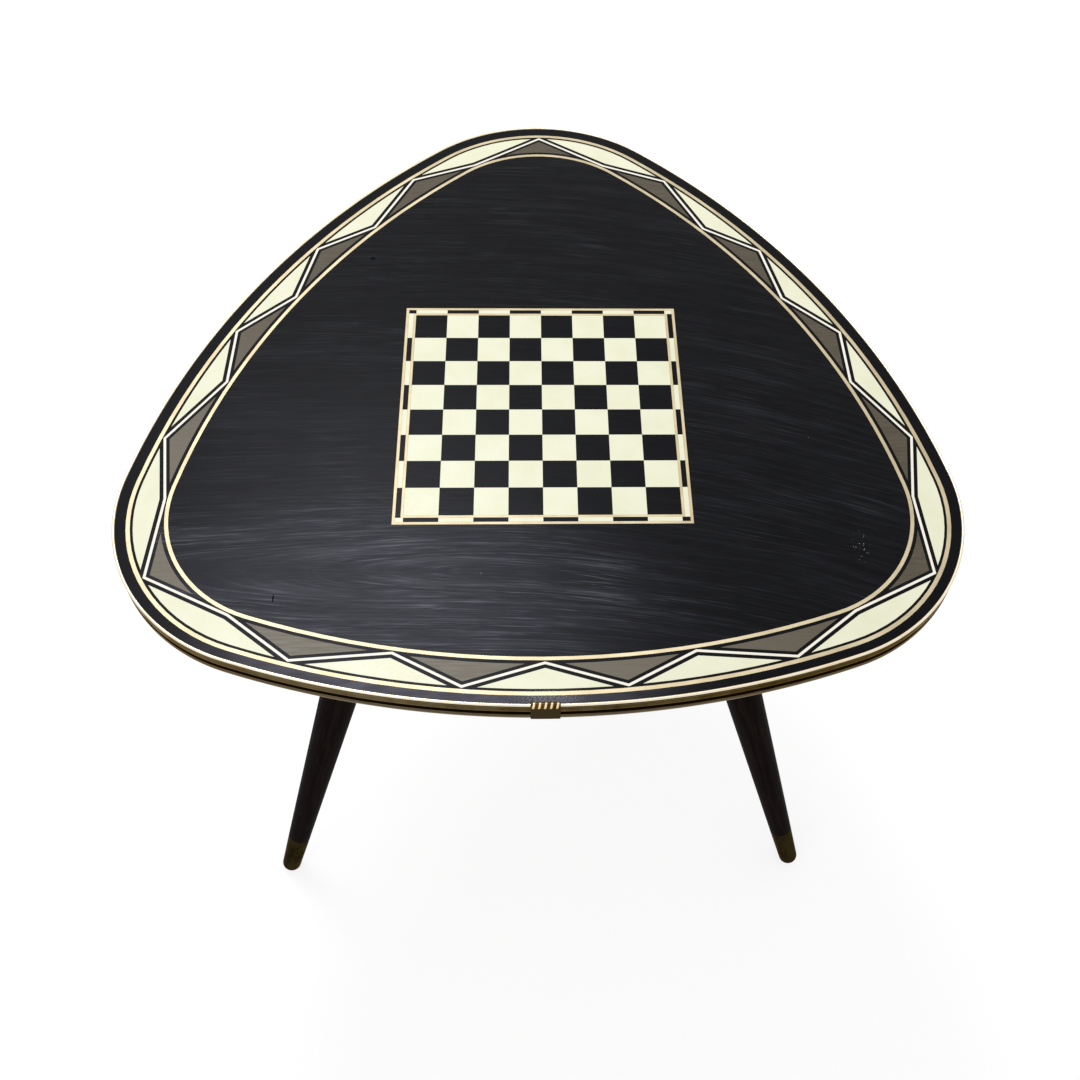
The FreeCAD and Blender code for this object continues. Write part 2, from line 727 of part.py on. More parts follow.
def plate_screw():
    """Wood screw with a domed head under the flange and its point in the core."""
    under = PLATE_THICK
    tip = under - SCREW_LENGTH
    dome = (SCREW_HEAD_RADIUS ** 2 + SCREW_HEAD_HEIGHT ** 2) / (2 * SCREW_HEAD_HEIGHT)
    dome_centre = under + SCREW_HEAD_HEIGHT - dome
    half_way = math.asin(SCREW_HEAD_RADIUS / dome) / 2
    return turned([
        ((0, tip),),
        ((SCREW_RADIUS, tip + SCREW_POINT),),
        ((SCREW_RADIUS, under),),
        ((SCREW_HEAD_RADIUS, under),),
        ((dome * math.sin(half_way), dome_centre + dome * math.cos(half_way)), (0, dome_centre + dome)),
    ])


def screw_hole():
    depth = SCREW_LENGTH - PLATE_THICK + SCREW_CLEAR
    return Part.makeCylinder(SCREW_RADIUS + SCREW_CLEAR, 2 * depth, FreeCAD.Vector(0, 0, -depth))


def at_screws(make, degrees):
    pieces = []
    for x, y in screw_places():
        piece = make()
        piece.translate(FreeCAD.Vector(x, y, 0))
        pieces.append(place_fixing(piece, degrees))
    return pieces


def all_screw_holes():
    return [hole for degrees in corner_angles() for hole in at_screws(screw_hole, degrees)]


def build():
    nodes = {
        "top_core": [top_core()],
        "top_veneer": [top_veneer()],
        "underside_backing": [underside_backing()],
        "edge_band": [edge_band()],
        "edge_splice_clip": [edge_splice_clip()],
        "chess_light_squares": chess_squares(dark=False),
        "chess_dark_squares": chess_squares(dark=True),
        "chess_inner_line": [board_frame(INNER_FRAME_HALF, FIELD_HALF)],
        "chess_light_strips": strip_tiles(dark=False),
        "chess_dark_strips": strip_tiles(dark=True),
        "chess_outer_line": [board_frame(BOARD_HALF, STRIP_HALF)],
        "border_outer_line": [border_line(OUTER_LINE_OUT, OUTER_LINE_IN, 0.0, POCKET_Z, TOP_Z)],
        "border_inner_line": [border_line(INNER_LINE_OUT, INNER_LINE_IN, 0.0, POCKET_Z, TOP_Z)],
        "border_zigzag": [zigzag_solid(0.0, POCKET_Z, TOP_Z)],
        "border_ivory_triangles": ivory_triangles(0.0, POCKET_Z, TOP_Z),
        "border_taupe_triangles": taupe_triangles(0.0, POCKET_Z, TOP_Z),
    }
    for name, degrees in zip(LEG_NAMES, corner_angles()):
        nodes["leg_plate_" + name] = [place_fixing(leg_plate(), degrees)]
        nodes["leg_bush_" + name] = [place_leg(leg_bush(), degrees)]
        nodes["plate_screws_" + name] = at_screws(plate_screw, degrees)
        nodes["leg_washer_" + name] = [place_leg(leg_washer(), degrees)]
        nodes["leg_" + name] = [place_leg(leg(), degrees)]
        nodes["leg_ferrule_" + name] = [placed_ferrule(degrees)]
        nodes["hanger_bolt_" + name] = [place_leg(hanger_bolt(), degrees)]
    return nodes


def solids_of(pieces):
    return [solid for piece in pieces for solid in piece.Solids]


os.makedirs("parts", exist_ok=True)
for node, pieces in build().items():
    solids = solids_of(pieces)
    shape = solids[0] if len(solids) == 1 else Part.makeCompound(solids)
    shape.exportStep("parts/" + node + ".step")
    state = "valid" if shape.isValid() else "NOT VALID"
    print(node, len(solids), "solid(s)", round(shape.Volume, 1), "mm3", state)
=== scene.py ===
import math
import bmesh
import bpy
from mathutils import Matrix, Vector

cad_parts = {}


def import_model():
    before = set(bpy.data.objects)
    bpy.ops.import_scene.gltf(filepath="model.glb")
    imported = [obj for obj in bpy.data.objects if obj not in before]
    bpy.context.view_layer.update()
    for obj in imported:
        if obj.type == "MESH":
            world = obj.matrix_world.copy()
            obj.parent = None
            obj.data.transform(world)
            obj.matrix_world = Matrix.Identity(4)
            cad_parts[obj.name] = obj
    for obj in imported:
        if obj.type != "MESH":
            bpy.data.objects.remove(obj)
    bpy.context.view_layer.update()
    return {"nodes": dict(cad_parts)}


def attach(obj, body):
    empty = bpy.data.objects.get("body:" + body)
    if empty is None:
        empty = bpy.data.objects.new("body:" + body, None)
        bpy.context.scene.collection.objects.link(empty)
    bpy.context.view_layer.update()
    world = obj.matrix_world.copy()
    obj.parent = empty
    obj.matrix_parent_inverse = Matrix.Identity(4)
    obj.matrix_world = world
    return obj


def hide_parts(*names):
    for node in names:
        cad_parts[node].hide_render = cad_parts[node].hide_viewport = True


# Side table with an inlaid chessboard: looks, fine hardware, camera and light.
# Metres in the frame of the solids, apart from the sections of the band and the clip.

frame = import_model()
scene = bpy.context.scene
nodes = frame["nodes"]

# Places repeated from the solids
TOP_Z = 0.560
UNDERSIDE_Z = 0.544
AXIS_Y = -0.033679
LEG_CENTRE = 0.122
LEG_SPLAY = math.radians(18.8)
LEG_ANGLES = {"rear": 90.0, "front_left": 210.0, "front_right": 330.0}
SEAT = 0.016058
WASHER_THICK = 0.0015
PLATE_THICK = 0.0025
BAND_END_GAP = 0.0004

# Outline of the top: three corner arcs and three flatter side arcs that meet smoothly
CORNER_REACH = 0.195
CORNER_RADIUS = 0.1345
SIDE_RADIUS = 0.645
SIDE_COUNT = 3
SIDE_TURN = 360 / SIDE_COUNT
FRONT_ANGLE = 270
HALF_TURN = math.radians(SIDE_TURN / 2)
CORNER_ASIDE = CORNER_REACH * math.sin(HALF_TURN)
RADIUS_GAP = SIDE_RADIUS - CORNER_RADIUS
SIDE_SETBACK = math.sqrt(RADIUS_GAP ** 2 - CORNER_ASIDE ** 2) - CORNER_REACH * math.cos(HALF_TURN)
HALF_SIDE = math.asin(CORNER_ASIDE / RADIUS_GAP)
FRONT_EDGE_Y = AXIS_Y - SIDE_RADIUS + SIDE_SETBACK

# Hanger bolts
BOLT_IN_LEG = 0.032
BOLT_RADIUS = 0.004
BOLT_RELIEF = 0.0001
BOLT_POINT_LENGTH = 0.005
BOLT_POINT_RADIUS = 0.0006
THREAD_LENGTH = 0.0125
THREAD_IN_LEG = 0.006
THREAD_PITCH = 0.00125
THREAD_DEPTH = 0.00072
THREAD_FLANK = 2.7
THREAD_LEAD_IN = 0.001
THREAD_LEAD_START = 0.0003
THREAD_RUN_OUT = 0.0006

# Screws; a recess has its length, width and depth below the plate at each end
SCREW_SPACING = (0.066, 0.056)
SCREW_RADIUS = 0.0019
SCREW_LENGTH = 0.015
SCREW_POINT = 0.004
SCREW_HEAD_RADIUS = 0.0038
SCREW_HEAD_HEIGHT = 0.0024
RECESS_MOUTH = (0.0044, 0.001, 0.004)
RECESS_FLOOR = (0.0026, 0.0007, 0.0008)
ROUND_SEGMENTS = 40

# Clip and its ribs
CLIP_WIDTH = 0.0196
CLIP_COLUMNS = 140
RIB_PITCH = 0.0039
RIB_COUNT = 5
RIB_DROP = 0.0016
RIB_LEAN = 0.16
RIB_MIDDLE = 0.0013

# Sections are in millimetres, outward from the edge and up from the top face
MM = 0.001
MM_PER_METRE = 1000

# Section of the band; a groove has its reach, top and foot
BAND_FACE = 1.9
BAND_BACK = 0.15
EDGE_SEAT = 0.05
BEAD_CENTRE, BEAD_RADIUS = (0.95, -0.2), 1.05
BEAD_START, BEAD_END = 166.2, -61.6
UPPER_GROOVE = (1.45, -1.3, -1.75)
REED_CENTRE, REED_RADIUS = (1.3, -2.6), 0.65
REED_HALF_ANGLE = 72
LOWER_GROOVE = (1.55, -3.35, -3.6)
FACE_TOP, FACE_FOOT = -3.8, -6.0
FLUTE_CENTRE, FLUTE_RADIUS = (3.55, -9.5), 2.75
FLUTE_START, FLUTE_END = 126.87, 233.13
LIP_TOP, LIP_SHELF, LIP_FOOT = -13.5, -16.05, -16.95
LIP_CENTRE, LIP_RADIUS = (0.3, -15.35), 1.6
LIP_REACH = -1.4
SPINE_REACH = -8.0
SPINE_TOP, SPINE_FOOT = -7.2, -8.8

# Section of the clip and of one rib
CLIP_FACE = 2.8
CLIP_WALL = 0.55
CLIP_TURN_CENTRE, CLIP_TURN_RADIUS = (0.8, -0.2), 2.0
CLIP_HOOK_CENTRE, CLIP_HOOK_RADIUS = (0.648, 0.2), 1.6
CLIP_HOOK_OUTSIDE, CLIP_HOOK_INSIDE = -0.952, -0.352
CLIP_HOOK_UNDER = 1.25
CLIP_FACE_STEP, CLIP_FACE_STEPS = 0.15, 19
CLIP_FACE_MIDDLE = -9.0
CLIP_FOOT_CENTRE, CLIP_FOOT_RADIUS = (0.6, -15.35), 2.2
CLIP_UNDER_REACH = -6.0
CLIP_UNDER_TOP, CLIP_UNDER_FOOT = -17.0, -17.55
RIB_RADIUS = 1.1
RIB_SUNK = 0.5
RIB_HALF_WIDTH = 0.98
RIB_RISE_SHARE = 0.92

# Marks on the top face, with the painted sheen spot at the front left: middle and half widths, and
# where the painted sheen along the front margin fades in
PAINTED_SHEEN_SPOT = (-0.14, -0.215, 0.27, 0.11)
SCUFF = (0.001, -0.289, 0.03, 0.0075)
CHIPS = (0.2255, -0.1708, 0.0075, 0.0165)
NICK = (-0.1847, -0.2113, 0.0012, 0.0062)
DOT = (-0.139, 0.1243, 0.0025, 0.0025)
SHEEN_LEFT, SHEEN_RIGHT, SHEEN_REAR = (-0.26, -0.16), (0.13, -0.03), (-0.14, -0.22)

# Camera: a square picture in pixels, angles in degrees, place from the middle of the top
PICTURE = 1080.0
FOCAL_LENGTH = 1250.0
FRAMING_SHIFT = 40.0
SENSOR = 36.0
CAMERA_YAW, CAMERA_PITCH, CAMERA_ROLL = 3.92, 56.307, -2.92
CAMERA_PLACE = (-0.008, -0.6438, 0.72097)

# Floor and light
FLOOR_HALF = 30.0
FLOOR_GLOW = 0.78
WORLD_LIGHT = 0.65
WORLD_SEEN = 1.0
LAMP_AIM = (0, 0, 0.45)


# Shader helpers

def link(tree, value, socket):
    """Links another node's output to a socket, or sets a constant on it."""
    if isinstance(value, bpy.types.NodeSocket):
        tree.links.new(value, socket)
    else:
        socket.default_value = value


def add(tree, kind, inputs=None, **settings):
    """New node with its settings, and its inputs by name or number."""
    made = tree.nodes.new(kind)
    for name, value in settings.items():
        setattr(made, name, value)
    for name, value in (inputs or {}).items():
        link(tree, value, made.inputs[name])
    return made


def math_node(tree, operation, a, b=0.0):
    return add(tree, "ShaderNodeMath", {0: a, 1: b}, operation=operation).outputs[0]


def times(tree, first, *others):
    for other in others:
        first = math_node(tree, "MULTIPLY", first, other)
    return first


def plus(tree, a, b):
    return math_node(tree, "ADD", a, b)


def minus(tree, a, b):
    return math_node(tree, "SUBTRACT", a, b)


def larger(tree, a, b):
    return math_node(tree, "MAXIMUM", a, b)


def vector_node(tree, operation, inputs):
    return add(tree, "ShaderNodeVectorMath", inputs, operation=operation).outputs[0]


def length_of(tree, vector):
    made = add(tree, "ShaderNodeVectorMath", {0: vector}, operation="LENGTH")
    return made.outputs["Value"]


def mix_colour(tree, share, a, b):
    """Colour from a at nought to b at one; the node's own colour sockets have these numbers."""
    made = add(tree, "ShaderNodeMix", data_type="RGBA")
    link(tree, share, made.inputs[0])
    link(tree, a, made.inputs[6])
    link(tree, b, made.inputs[7])
    return made.outputs[2]


def rgb(r, g, b):
    return (r, g, b, 1.0)


def ramp(tree, value, low, high, to_low=0.0, to_high=1.0, smooth=True):
    """Value mapped from low and high to to_low and to_high, and held beyond them."""
    ends = {"From Min": low, "From Max": high, "To Min": to_low, "To Max": to_high}
    made = add(tree, "ShaderNodeMapRange", {"Value": value, **ends},
               interpolation_type="SMOOTHSTEP" if smooth else "LINEAR")
    return made.outputs[0]


def between(tree, value, low, high, soft):
    """One from low to high, falling to nought over the soft edge outside them."""
    return times(tree, ramp(tree, value, low - soft, low), ramp(tree, value, high + soft, high))


def place(tree, scale=(1, 1, 1), location=(0, 0, 0), rotation=(0, 0, 0), kind="POINT"):
    """Coordinates that stay with the piece, in metres."""
    coords = add(tree, "ShaderNodeTexCoord").outputs["Object"]
    moves = {"Location": location, "Rotation": rotation, "Scale": scale}
    return add(tree, "ShaderNodeMapping", {"Vector": coords, **moves}, vector_type=kind).outputs[0]


def split(tree, vector):
    return add(tree, "ShaderNodeSeparateXYZ", {0: vector}).outputs


def join(tree, x, y):
    return add(tree, "ShaderNodeCombineXYZ", {"X": x, "Y": y}).outputs[0]


def noise(tree, vector, scale, detail=3.0, roughness=0.55, distortion=0.0, output="Fac"):
    """Soft noise, mostly between 0.3 and 0.7, with the scale in cells to the metre."""
    settings = {"Scale": scale, "Detail": detail, "Roughness": roughness, "Distortion": distortion}
    return add(tree, "ShaderNodeTexNoise", {"Vector": vector, **settings}).outputs[output]


def material(name, **constants):
    """New material with its node tree and shader; a constant is named for its socket."""
    made = bpy.data.materials.new(name)
    made.use_nodes = True
    tree = made.node_tree
    shader = tree.nodes["Principled BSDF"]
    for socket, value in constants.items():
        shader.inputs[socket.replace("_", " ")].default_value = value
    return made, tree, shader


def surface(tree, shader, colour, roughness, height, strength, depth):
    """Joins colour, roughness and the bump of a height to the shader."""
    link(tree, colour, shader.inputs["Base Color"])
    link(tree, roughness, shader.inputs["Roughness"])
    bump = add(tree, "ShaderNodeBump", {"Height": height, "Strength": strength, "Distance": depth})
    link(tree, bump.outputs[0], shader.inputs["Normal"])


def seen_directly(tree):
    """One for what the camera sees, also in mirrors and through glass."""
    path = add(tree, "ShaderNodeLightPath").outputs
    mirrored = larger(tree, path["Is Glossy Ray"], path["Is Transmission Ray"])
    return larger(tree, path["Is Camera Ray"], mirrored)


def dress(node, made):
    """Gives a solid one material in all its slots."""
    slots = nodes[node].data.materials
    if not slots:
        slots.append(made)
    for index in range(len(slots)):
        slots[index] = made


# Materials of the top

# Colour of the painted sheen spot at the front left
PAINTED_SHEEN_COLOUR = rgb(0.0115, 0.0118, 0.0158)
# Colour of the painted sheen along the front margin
MARGIN_SHEEN_COLOUR = rgb(0.09, 0.085, 0.109)
SCUFF_COLOUR = rgb(0.26, 0.255, 0.265)
CHIP_COLOUR = rgb(0.42, 0.42, 0.44)
NICK_COLOUR = rgb(0.0015, 0.0015, 0.002)


def spot(tree, x, y, half_x, half_y):
    """One inside an ellipse on the top face, falling to nought at its edge."""
    vector = place(tree, scale=(1 / half_x, 1 / half_y, 0), location=(-x / half_x, -y / half_y, 0))
    return ramp(tree, length_of(tree, vector), 1.0, 0.35)


def dots(tree, scale, radius, share):
    """Sparse round specks: radius in cells, share of the cells that carry one."""
    flat = place(tree, scale=(1, 1, 0))
    cells = add(tree, "ShaderNodeTexVoronoi", {"Vector": flat, "Scale": scale}).outputs
    chosen = add(tree, "ShaderNodeSeparateColor", {0: cells["Color"]}).outputs[0]
    near = ramp(tree, cells["Distance"], radius, radius * 0.6)
    return times(tree, near, math_node(tree, "LESS_THAN", chosen, share))


def side_angle(k):
    """Direction of side k from the middle of the top, counted from the front."""
    return math.radians(FRONT_ANGLE + SIDE_TURN * k)


def side_centre(k):
    """Centre of the arc of side k, across the middle from it."""
    x, y = SIDE_SETBACK * math.cos(side_angle(k)), SIDE_SETBACK * math.sin(side_angle(k))
    return Vector((-x, AXIS_Y - y, TOP_Z))


def in_field(tree, inset, soft):
    """One on the top face further than the inset from its sides, nought outside that."""
    furthest = 0.0
    for k in range(SIDE_COUNT):
        centre = side_centre(k)
        vector = place(tree, scale=(1, 1, 0), location=(-centre.x, -centre.y, 0))
        furthest = larger(tree, length_of(tree, vector), furthest)
    return ramp(tree, furthest, SIDE_RADIUS - inset + soft, SIDE_RADIUS - inset)


def veneer_figure(tree):
    """Flat-sawn figure: long loops tipped at the front left, and streaks that fall to the right."""
    heart_x, heart_y = -0.06, -0.1898
    taper, fall_rate, bend, drift = 0.13, 0.65, 0.018, 0.02
    # Plane that is bent so that the length in it follows the loops
    axes = split(tree, place(tree, location=(-heart_x, -heart_y, 0)))
    tip = times(tree, math_node(tree, "MINIMUM", axes["X"], 0.0), taper)
    right = larger(tree, axes["X"], 0.0)
    fall = times(tree, right, right, fall_rate)
    plane = join(tree, tip, plus(tree, axes["Y"], fall))
    stretched = place(tree, scale=(0.24, 1.0, 0.0))
    warp = noise(tree, stretched, 13.0, detail=2.0, roughness=0.5, output="Color")
    shift = vector_node(tree, "ADD", {0: warp, 1: (-0.5, -0.5, -0.5)})
    shift = vector_node(tree, "SCALE", {0: shift, "Scale": bend})
    bent = vector_node(tree, "ADD", {0: plane, 1: shift})
    length = length_of(tree, bent)
    # Broad and fine lines, plainest along the arms of the loops and in patches
    course = join(tree, length, times(tree, axes["X"], drift))
    broad = ramp(tree, noise(tree, course, 150.0, detail=2.0, roughness=0.6), 0.42, 0.74)
    lines = ramp(tree, noise(tree, course, 760.0, detail=3.0, roughness=0.7), 0.5, 0.68)
    figure = plus(tree, times(tree, lines, 0.75), times(tree, broad, 0.3))
    across = math_node(tree, "ABSOLUTE", split(tree, bent)["Y"])
    arms = ramp(tree, math_node(tree, "DIVIDE", across, length), 0.2, 0.8, 0.08, 1.0)
    patches = noise(tree, place(tree, scale=(1.0, 2.2, 0.0)), 9.0, detail=3.0)
    return times(tree, figure, arms, ramp(tree, patches, 0.36, 0.64, 0.3, 1.0))


def black_veneer(name, figure, deep, pale, streak):
    """Black lacquered veneer: figure is the strength of its streaks where they are plainest."""
    field, field_soft, margin, margin_soft = 0.037, 0.004, 0.0085, -0.0005
    made, tree, shader = material(name, Specular_IOR_Level=0.075,
                                  Specular_Tint=rgb(0.86, 0.88, 1.0))
    # Ground, with a painted sheen spot at the front left where the light falls on it
    fibres = noise(tree, place(tree, scale=(0.05, 1.0, 0.0)), 900.0, detail=2.0)
    smoke = noise(tree, place(tree, scale=(1.0, 1.6, 0.0)), 26.0, detail=5.0, roughness=0.6)
    sheen_spot = spot(tree, *PAINTED_SHEEN_SPOT)
    plain = times(tree, in_field(tree, field, field_soft), figure)
    colour = mix_colour(tree, ramp(tree, fibres, 0.3, 0.75, 0.0, 0.5), deep, pale)
    colour = mix_colour(tree, ramp(tree, smoke, 0.36, 0.66, 0.0, 0.7), colour, pale)
    colour = mix_colour(tree, times(tree, sheen_spot, plain), colour, PAINTED_SHEEN_COLOUR)
    # Streaks of the figure, drawn at full strength only inside the painted sheen spot
    figure_in_sheen = ramp(tree, sheen_spot, 0.0, 1.0, 0.15, 1.0, smooth=False)
    lines = times(tree, veneer_figure(tree), figure_in_sheen, plain)
    colour = mix_colour(tree, lines, colour, streak)
    # Painted sheen along the front margin, broken up by a cloud
    axes = split(tree, place(tree))
    front = times(tree, ramp(tree, axes["X"], *SHEEN_LEFT), ramp(tree, axes["X"], *SHEEN_RIGHT),
                  ramp(tree, axes["Y"], *SHEEN_REAR))
    cloud = noise(tree, place(tree, scale=(1.0, 2.5, 0.0)), 30.0, detail=4.0)
    margin_sheen = times(tree, front, ramp(tree, cloud, 0.34, 0.62, 0.45, 0.85),
                 in_field(tree, margin, margin_soft))
    colour = mix_colour(tree, margin_sheen, colour, MARGIN_SHEEN_COLOUR)
    # Scuff by the clip, specks at the right and a few strays, nicks
    dust = noise(tree, place(tree), 1000.0, detail=2.0)
    scuff = times(tree, spot(tree, *SCUFF), ramp(tree, dust, 0.44, 0.64))
    colour = mix_colour(tree, times(tree, scuff, 0.8), colour, SCUFF_COLOUR)
    chips = times(tree, spot(tree, *CHIPS), dots(tree, scale=700.0, radius=0.25, share=0.45))
    strays = times(tree, dots(tree, scale=45.0, radius=0.024, share=0.05), 0.4)
    colour = mix_colour(tree, larger(tree, chips, strays), colour, CHIP_COLOUR)
    nicks = larger(tree, spot(tree, *NICK), spot(tree, *DOT))
    colour = mix_colour(tree, nicks, colour, NICK_COLOUR)
    # A black metal shows no gloss, so the nicks stay dark
    link(tree, ramp(tree, nicks, 0.0, 0.6), shader.inputs["Metallic"])
    rough = plus(tree, ramp(tree, fibres, 0.3, 0.7, 0.3, 0.37), times(tree, scuff, 0.25))
    surface(tree, shader, colour, rough, plus(tree, times(tree, fibres, 0.6), lines),
            strength=0.06, depth=0.0004)
    return made


def smooth_inlay(name, pale, deep, roughness, scale=45.0):
    """Lacquered inlay with a faint cloud in its colour."""
    made, tree, shader = material(name, Specular_IOR_Level=0.3)
    cloud = noise(tree, place(tree), scale, detail=4.0)
    fine = noise(tree, place(tree, scale=(0.2, 1, 1)), 1400.0, detail=2.0)
    colour = mix_colour(tree, ramp(tree, cloud, 0.32, 0.68), pale, deep)
    rough = ramp(tree, fine, 0.3, 0.7, roughness, roughness + 0.08)
    surface(tree, shader, colour, rough, fine, strength=0.04, depth=0.0002)
    return made


def taupe_veneer(name):
    """Stained veneer, painted paler towards the front left, where the sheen of the light falls."""
    slant, sheen_start, sheen_end = 0.6, 0.0, -0.33
    stain, painted_sheen_taupe = rgb(0.066, 0.053, 0.032), rgb(0.152, 0.134, 0.102)
    vein = rgb(0.13, 0.108, 0.076)
    made, tree, shader = material(name, Specular_IOR_Level=0.25)
    grain = noise(tree, place(tree, scale=(0.07, 1.0, 0.0)), 620.0, detail=4.0, roughness=0.6)
    axes = split(tree, place(tree))
    away = plus(tree, times(tree, axes["X"], slant), axes["Y"])
    # Painted sheen: the stain turns paler towards the front left
    colour = mix_colour(tree, ramp(tree, away, sheen_start, sheen_end), stain, painted_sheen_taupe)
    colour = mix_colour(tree, ramp(tree, grain, 0.3, 0.7, 0.0, 0.4), colour, vein)
    rough = ramp(tree, grain, 0.3, 0.7, 0.36, 0.48)
    surface(tree, shader, colour, rough, grain, strength=0.06, depth=0.0003)
    return made


def metal_ink(name, pale, deep, metallic, roughness):
    """Gold-toned line under lacquer, a little uneven along its length."""
    made, tree, shader = material(name, Metallic=metallic)
    cloud = noise(tree, place(tree), 30.0, detail=5.0, roughness=0.65)
    grit = noise(tree, place(tree), 1800.0, detail=2.0)
    colour = mix_colour(tree, ramp(tree, cloud, 0.35, 0.65), pale, deep)
    rough = ramp(tree, grit, 0.3, 0.7, roughness, roughness + 0.12)
    surface(tree, shader, colour, rough, grit, strength=0.05, depth=0.0002)
    return made


def edge_band_metal(name):
    """Brass-toned strip: painted highlight along the top of the bead, browned face with a painted
    highlight on its fine reed and painted shade in its grooves, black flute, lip paler towards its
    lower edge, and painted shade that darkens it towards the right.
    """
    # Heights from the top face
    bead_foot, upper_groove = (-0.0006, -0.0001), (-0.00195, -0.0006)
    reed_span, lower_groove = (-0.0032, -0.0021), (-0.0036, -0.0034)
    face_foot, flute_span = (-0.0055, -0.0072), (-0.0115, -0.0075)
    lip_top, lip_face = (-0.0118, -0.0126), (-0.0136, -0.0158)
    soft, flute_soft = 0.0002, 0.0003
    # Blotchy wear, plus painted shade that darkens the band towards the right, away from the lamps
    made, tree, shader = material(name, Metallic=1.0, Specular_Tint=rgb(0.62, 0.52, 0.38))
    axes = split(tree, place(tree))
    z = minus(tree, axes["Z"], TOP_Z)
    blotch = noise(tree, place(tree), 55.0, detail=5.0, roughness=0.65)
    wear_and_side_shade = plus(tree, ramp(tree, blotch, 0.32, 0.68, 0.0, 0.5),
                ramp(tree, axes["X"], -0.12, 0.1, 0.0, 0.5))
    # Face above the flute, with a painted highlight on its reed and painted shade in the grooves
    # beside that
    face = mix_colour(tree, wear_and_side_shade, rgb(0.125, 0.1, 0.06), rgb(0.034, 0.021, 0.008))
    low_face = mix_colour(tree, wear_and_side_shade, rgb(0.19, 0.155, 0.1), rgb(0.062, 0.042, 0.024))
    metal = mix_colour(tree, ramp(tree, z, *face_foot), face, low_face)
    reed_highlight = mix_colour(tree, wear_and_side_shade, rgb(0.14, 0.11, 0.06), rgb(0.1, 0.066, 0.024))
    metal = mix_colour(tree, between(tree, z, *reed_span, soft), metal, reed_highlight)
    groove_shade = larger(tree, between(tree, z, *upper_groove, soft),
                    times(tree, between(tree, z, *lower_groove, soft), 0.6))
    metal = mix_colour(tree, groove_shade, metal, rgb(0.018, 0.01, 0.003))
    # Painted highlight along the top of the bead, blotched; lip paler towards its lower edge; flute
    bead_highlight = mix_colour(tree, ramp(tree, blotch, 0.4, 0.75), rgb(0.87, 0.78, 0.6),
                      rgb(0.75, 0.61, 0.4))
    metal = mix_colour(tree, ramp(tree, z, *bead_foot), metal, bead_highlight)
    lip = mix_colour(tree, ramp(tree, z, *lip_face), rgb(0.1, 0.082, 0.062),
                     rgb(0.26, 0.235, 0.195))
    metal = mix_colour(tree, ramp(tree, z, *lip_top), metal, lip)
    flute = between(tree, z, *flute_span, flute_soft)
    metal = mix_colour(tree, flute, metal, rgb(0.005, 0.0025, 0.001))
    rough = plus(tree, ramp(tree, blotch, 0.3, 0.7, 0.24, 0.4), times(tree, flute, 0.25))
    fine = noise(tree, place(tree, scale=(1, 1, 4.0)), 700.0, detail=2.0)
    surface(tree, shader, metal, rough, fine, strength=0.05, depth=0.0002)
    return made


def ribbed_brass(name):
    """Pressed clip: painted highlight along the ribs, brown between them, dark and plain below."""
    # Half width of the painted highlight on a rib, and heights from the top face
    highlight_span, rib_foot, plain_below = (0.00092, 0.0005), (-0.0018, -0.0011), (-0.0018, -0.003)
    made, tree, shader = material(name, Metallic=1.0, Specular_Tint=rgb(0.55, 0.5, 0.42))
    axes = split(tree, place(tree))
    z = minus(tree, axes["Z"], TOP_Z)
    round_edge = minus(tree, minus(tree, FRONT_EDGE_Y - RIB_MIDDLE, axes["Y"]), z)
    leaning = plus(tree, axes["X"], times(tree, round_edge, RIB_LEAN))
    from_rib = math_node(tree, "PINGPONG", leaning, RIB_PITCH / 2)
    # Painted highlight along the upper part of each rib
    rib_highlight = times(tree, ramp(tree, from_rib, *highlight_span), ramp(tree, z, *rib_foot))
    blotch = noise(tree, place(tree), 160.0, detail=4.0)
    dull = mix_colour(tree, ramp(tree, blotch, 0.35, 0.65), rgb(0.085, 0.047, 0.014),
                      rgb(0.042, 0.023, 0.007))
    dull = mix_colour(tree, ramp(tree, z, *plain_below), dull, rgb(0.042, 0.033, 0.023))
    painted_highlight = mix_colour(tree, ramp(tree, blotch, 0.4, 0.7), rgb(0.87, 0.71, 0.44),
                        rgb(0.73, 0.54, 0.28))
    colour = mix_colour(tree, rib_highlight, dull, painted_highlight)
    rough = ramp(tree, blotch, 0.3, 0.7, 0.26, 0.42)
    surface(tree, shader, colour, rough, noise(tree, place(tree), 1500.0),
            strength=0.05, depth=0.0002)
    return made


# Materials of the legs and fixings

def fixing_matrix(degrees):
    """Place of a leg's own origin under the top, level."""
    return (Matrix.Translation((0, AXIS_Y, UNDERSIDE_Z))
            @ Matrix.Rotation(math.radians(degrees), 4, "Z")
            @ Matrix.Translation((LEG_CENTRE, 0, 0)))


def leg_matrix(degrees):
    """The same place with Z up along the leg."""
    return fixing_matrix(degrees) @ Matrix.Rotation(-LEG_SPLAY, 4, "Y")


def along_leg(tree, degrees, stretch):
    """Coordinates with Z along one leg, stretched that way."""
    matrix = leg_matrix(degrees)
    turned = place(tree, location=matrix.translation, rotation=matrix.to_euler("XYZ"),
                   kind="TEXTURE")
    return vector_node(tree, "MULTIPLY", {0: turned, 1: (1, 1, stretch)})


def leg_wood(name, degrees):
    """Black-stained wood with its grain along the leg."""
    made, tree, shader = material(name, Specular_IOR_Level=0.005)
    pores = noise(tree, along_leg(tree, degrees, 0.03), 900.0, detail=3.0)
    grain = noise(tree, along_leg(tree, degrees, 0.06), 170.0, detail=4.0, distortion=0.4)
    colour = mix_colour(tree, ramp(tree, grain, 0.35, 0.68), rgb(0.0055, 0.0034, 0.0032),
                        rgb(0.0135, 0.0084, 0.0078))
    colour = mix_colour(tree, ramp(tree, pores, 0.56, 0.72, 0.0, 0.7), colour,
                        rgb(0.021, 0.0135, 0.0125))
    rough = ramp(tree, grain, 0.3, 0.7, 0.42, 0.56)
    surface(tree, shader, colour, rough, plus(tree, pores, grain), strength=0.1, depth=0.0004)
    return made


